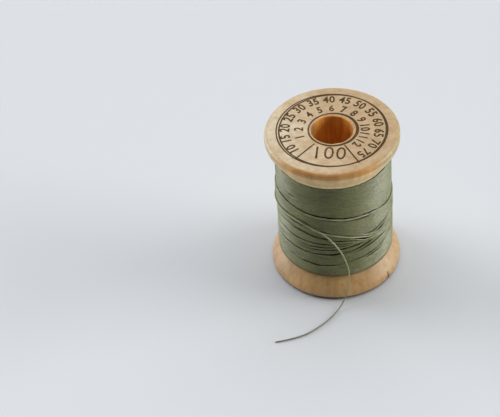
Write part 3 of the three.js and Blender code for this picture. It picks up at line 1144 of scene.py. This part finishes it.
# The last turn starts as the lowest one, climbs over the others behind and comes off in front:
# (degrees from the seam behind, height, radius).
lastTurn = [
    (0, 0.00516, 0.01109), (90, 0.00513, 0.01111), (180, 0.0051, 0.01111), (270, 0.00512, 0.01111),
    (290, 0.0056, 0.01132), (320, 0.0074, 0.0114), (370, 0.0109, 0.0114), (410, 0.0138, 0.0114),
    (445, 0.0171, 0.0114), (466, 0.01795, 0.0114), (476, 0.01816, 0.0114), (489.5, 0.01832, 0.0114),
    (498, 0.0183, 0.0114), (506, 0.01818, 0.01142), (512.5, 0.01797, 0.0115), (519.2, 0.01766, 0.01165),
]


def lastTurnLine():
    corners = []
    for i, (angle, height, radius) in enumerate(lastTurn):
        following = lastTurn[min(i + 1, len(lastTurn) - 1)]
        count = max(1, round((following[0] - angle) / 10))  # a corner every ten degrees
        for k in range(count):
            share = k / count
            corners.append(onSpool(
                mix(radius, following[2], share),
                winding["seam"] + mix(angle, following[0], share),
                mix(height, following[1], share),
            ))
    start, after = (Vector(p) for p in looseEnd["points"][:2])
    corners += [start, start + 0.02 * (after - start)]
    return smoothLine(corners, 0.0005)


innerTurns = {
    "ribs": 84,
    "pointsPerRib": 4,
    "ribHeight": 0.00007,
    "steps": 72,
    "coneGap": 0.0002,  # from the heads' cones
    "headGap": 0.0003,  # from the barrel and from the heads beside it
    "edge": (0.009, 0.0001),  # the corner in between: its radius, and how far it lies in the cove
}


def innerOutline():
    # the layers below, as a ribbed surface that fills the room between the heads
    size = innerTurns
    lowest = coneHeight(winding["innerRadius"]) + size["coneGap"]
    count = size["ribs"] * size["pointsPerRib"]
    edge = (size["edge"][0], headDepth - size["edge"][1])
    near = (barrelRadius + size["headGap"], headDepth + size["headGap"])
    outline = [near, edge]
    for k in range(count + 1):
        rib = abs(math.sin(math.pi * k / size["pointsPerRib"]))
        height = mix(lowest, spoolHeight - lowest, k / count)
        outline.append((winding["innerRadius"] + size["ribHeight"] * rib, height))
    return outline + flipped([near, edge]) + [near]


# the layers below are painted nearly black, as shade
innerLayers = spinOutline("innerLayers", innerOutline(), innerTurns["steps"], 180)
keepPiece(innerLayers, cottonMaterial("innerCotton", 1, innerLook), "thread", "thread_core")


def windingPiece(name, line, *nodes):
    piece = threadCurve(name, line)
    keepPiece(piece, cottonMaterial(name + "Cotton", twistsAlong(line)), "thread", *nodes)
    return piece


def dyeFaces(piece, material, chosen):
    # another cotton for the faces that chosen(azimuth, height) picks
    piece.data.materials.append(material)
    index = len(piece.data.materials) - 1
    for face in piece.data.polygons:
        place = face.center
        if chosen(math.degrees(math.atan2(place.x, -place.y)), place.z):
            face.material_index = index


# the step's top turn, which gets a painted highlight in front
def isPaleStep(azimuth, height):
    middle = (around(gapHeights["step"], azimuth) + around(gapHeights["underStep"], azimuth)) / 2
    middle += (gapWidth("underStep", azimuth) - gapWidth("step", azimuth)) / 4
    start, end = winding["paleStep"]
    return start < azimuth < end and abs(height - middle) < winding["paleShare"] * thread["diameter"]


def isPaleSecond(azimuth, height):
    start, end = winding["paleSecond"]
    return start < azimuth < end


# the lowest turns, which get the painted shade
def isGrimy(azimuth, height):
    return height < winding["shadedBelow"]


# the two loose turns catch the light in front; the second one is a piece of its own
secondLine = upperLine[-winding["stepsPerTurn"] - 1:]
upperLine = upperLine[:-winding["stepsPerTurn"]]
upperTurns = windingPiece("upperTurns", upperLine, "thread_turns")
dyeFaces(upperTurns, cottonMaterial("stepCotton", twistsAlong(upperLine), looseLook), isPaleStep)

secondPiece = threadCurve("secondLastTurn", secondLine, winding["lastShare"])
secondTwists = twistsAlong(secondLine)
keepPiece(secondPiece, cottonMaterial("secondCotton", secondTwists), "thread")
frontCotton = cottonMaterial(
    "secondFrontCotton", secondTwists, strandLook, cottonLook, "X", winding["secondFade"]
)
dyeFaces(secondPiece, frontCotton, isPaleSecond)

windingPiece("wedgeTurns", wedgeLine)
lowerTurns = windingPiece("lowerTurns", lowerLine)
dyeFaces(lowerTurns, cottonMaterial("footCotton", twistsAlong(lowerLine), footLook), isGrimy)

lastLine = lastTurnLine()
lastPiece = threadCurve("lastTurn", lastLine, winding["lastShare"])
lastTwists = twistsAlong(lastLine)
lastCotton = cottonMaterial("lastCotton", lastTwists, looseLook, leftLook, "X", winding["lastFade"])
keepPiece(lastPiece, lastCotton, "thread")
dyeFaces(lastPiece, cottonMaterial("lastFootCotton", lastTwists, footLook), isGrimy)
print("stage: the winding")

# The dial that is stamped on the top face.
dial = {
    "thickness": 0.00002,
    "ringLift": 0.2,  # how much higher each ring lies, as a share of the thickness
    "ink": (0.066, 0.036, 0.011, 1),
    "wear": 0.25,  # 0: fresh ink, 1: nearly gone
    "cover": (0.47, 0.97),  # how well worn ink and full ink hide the wood
    "roughness": 0.7,
    "specular": 0.12,
    "rings": [
        # radius in the middle of the line, its width, and the ring's centre
        (0.01024, 0.00026, (-0.00013, 0.0001)),
        (0.0101, 0.0003, (0.00024, 0.00002)),
        (0.00462, 0.0003, (0.0003, 0.0001)),
        (0.00452, 0.0003, (0.00014, 0.00012)),
    ],
    "spokes": [(-41.5, 0.00495, 0.0102), (27.0, 0.00495, 0.0105)],
    "spokeWidth": 0.00028,
    "narrowing": 0.86,  # of the numbers
    "spacing": 1.08,  # from figure to figure
    "ringSides": 144,
    # numbers, azimuths of the first and the last, radius, size, and how much bolder the strokes are
    "numbers": [
        (range(10, 80, 5), -56, -320, 0.0087, 0.00255, 0.00006),
        (range(1, 13), -74, -309, 0.0061, 0.0024, 0.00006),
    ],
    "frontNumber": (100, -6, 0.0066, 0.0048, -0.00002),  # number, azimuth, radius, size, boldness
}


def inkMaterial():
    # ink worn off in places, down to the same wood
    material, tree, principled = newMaterial("stampedInk")
    grain = headGrain(tree)
    place = coordinate(tree)
    grainy = noiseAt(tree, place, 4200, 3, 0.7)
    patchy = noiseAt(tree, place, 260, 2, 0.5)
    held = calculate(tree, "MULTIPLY_ADD", patchy, 0.8, grainy)
    kept = between(tree, held, 0.45 + 0.4 * dial["wear"], 0.75 + 0.4 * dial["wear"])
    least, most = dial["cover"]
    kept = calculate(tree, "MULTIPLY_ADD", kept, most - least, least)
    colour = mixColours(tree, kept, grain.outputs["Colour"], dial["ink"])
    tree.links.new(colour, principled.inputs["Base Color"])
    setLook(principled, dial)
    bumpInto(tree, principled, grain.outputs["Height"], headLook)
    return material


stampedInk = inkMaterial()


def thickenUp(piece, name):
    # gives a flat mesh on the top face its thickness
    makeActive(piece)
    piece.name = name
    editAll()
    bpy.ops.mesh.extrude_region_move(TRANSFORM_OT_translate={"value": (0, 0, 1.5 * dial["thickness"])})
    editAll()
    bpy.ops.transform.translate(value=(0, 0, spoolHeight - 0.5 * dial["thickness"]))
    bpy.ops.mesh.normals_make_consistent(inside=False)
    bpy.ops.object.mode_set(mode="OBJECT")
    keepPiece(piece, stampedInk, "wood_heads")


def stampRing(index, radius, width, middle):
    bpy.ops.mesh.primitive_circle_add(vertices=dial["ringSides"], radius=radius - width / 2)
    piece = bpy.context.object
    editAll()
    grow = (radius + width / 2) / (radius - width / 2)
    bpy.ops.mesh.extrude_edges_move()
    bpy.ops.transform.resize(value=(grow, grow, 1), center_override=(0, 0, 0))
    editAll()
    lift = index * dial["ringLift"] * dial["thickness"]
    bpy.ops.transform.translate(value=(*middle, lift))
    bpy.ops.object.mode_set(mode="OBJECT")
    thickenUp(piece, "stampedRing" + str(index + 1))


def standOn(radius, azimuth, turn):
    # the matrix that moves a flat mesh to its place on the face and turns it there
    place = Matrix.Translation(onSpool(radius, azimuth, 0))
    return place @ Matrix.Rotation(math.radians(turn), 4, "Z")


def stampSpoke(index, azimuth, start, end):
    bpy.ops.mesh.primitive_plane_add(size=1)
    piece = bpy.context.object
    place = standOn((start + end) / 2, azimuth, azimuth)
    piece.data.transform(place @ Matrix.Diagonal((dial["spokeWidth"], end - start, 1, 1)))
    thickenUp(piece, "stampedSpoke" + str(index + 1))


def stampNumber(value, azimuth, radius, size, boldness, inward):
    # inward numbers have their tops to the bore, the others to the rim
    bpy.ops.object.text_add()
    text = bpy.context.object.data
    text.body = str(value)
    text.size = size
    text.offset = boldness
    text.align_x = text.align_y = "CENTER"
    text.resolution_u = 3
    text.space_character = dial["spacing"]
    bpy.ops.object.convert(target="MESH")
    label = bpy.context.object
    place = standOn(radius, azimuth, azimuth if inward else azimuth + 180)
    label.data.transform(place @ Matrix.Diagonal((dial["narrowing"], 1, 1, 1)))
    return label


def stampNumbers():
    labels = []
    for values, first, last, radius, size, boldness in dial["numbers"]:
        for i, value in enumerate(values):
            azimuth = mix(first, last, i / (len(values) - 1))
            labels.append(stampNumber(value, azimuth, radius, size, boldness, False))
    labels.append(stampNumber(*dial["frontNumber"], True))
    makeActive(*labels)
    bpy.ops.object.join()
    thickenUp(labels[0], "stampedNumbers")


for index, ring in enumerate(dial["rings"]):
    stampRing(index, *ring)
for index, spoke in enumerate(dial["spokes"]):
    stampSpoke(index, *spoke)
stampNumbers()
print("stage: the dial on the top face")

# Table, world and lamps.
stage = {
    "colour": (0.65, 0.68, 0.725, 1),  # of the table
    "roughness": 0.9,
    "specular": 0.2,
    "size": 6,
    "world": (1.0, 0.95, 0.88, 1),
    "worldStrength": 0.08,
}
lamps = [
    # name, azimuth, elevation, strength, the angle it fills in the sky, and colour
    ("leftLamp", -113, 12, 2.8, 40, (1, 1, 1)),
    ("rightLamp", 91, 12, 3.1, 40, (1, 1, 0.94)),
    ("topLamp", 170, 64, 2.15, 90, (1, 1, 1)),
]


def makeStage():
    bpy.ops.mesh.primitive_plane_add(size=stage["size"])
    table = bpy.context.object
    table.name = "table"
    material, _, principled = newMaterial("paleTable")
    setLook(principled, stage)
    table.data.materials.append(material)
    world = bpy.data.worlds.new("studio")
    world.use_nodes = True
    background = world.node_tree.nodes["Background"]
    setSockets(background, {"Color": stage["world"], "Strength": stage["worldStrength"]})
    bpy.context.scene.world = world


def makeLamps():
    for name, azimuth, elevation, strength, angle, colour in lamps:
        up = math.radians(elevation)
        place = onSpool(math.cos(up), azimuth, math.sin(up))
        aim = (-place).to_track_quat("-Z", "Y").to_euler()
        bpy.ops.object.light_add(type="SUN", location=place, rotation=aim)
        lamp = bpy.context.object
        lamp.name = name
        lamp.data.energy = strength
        lamp.data.color = colour
        lamp.data.angle = math.radians(angle)


makeStage()
makeLamps()
print("stage: the table and the lamps")
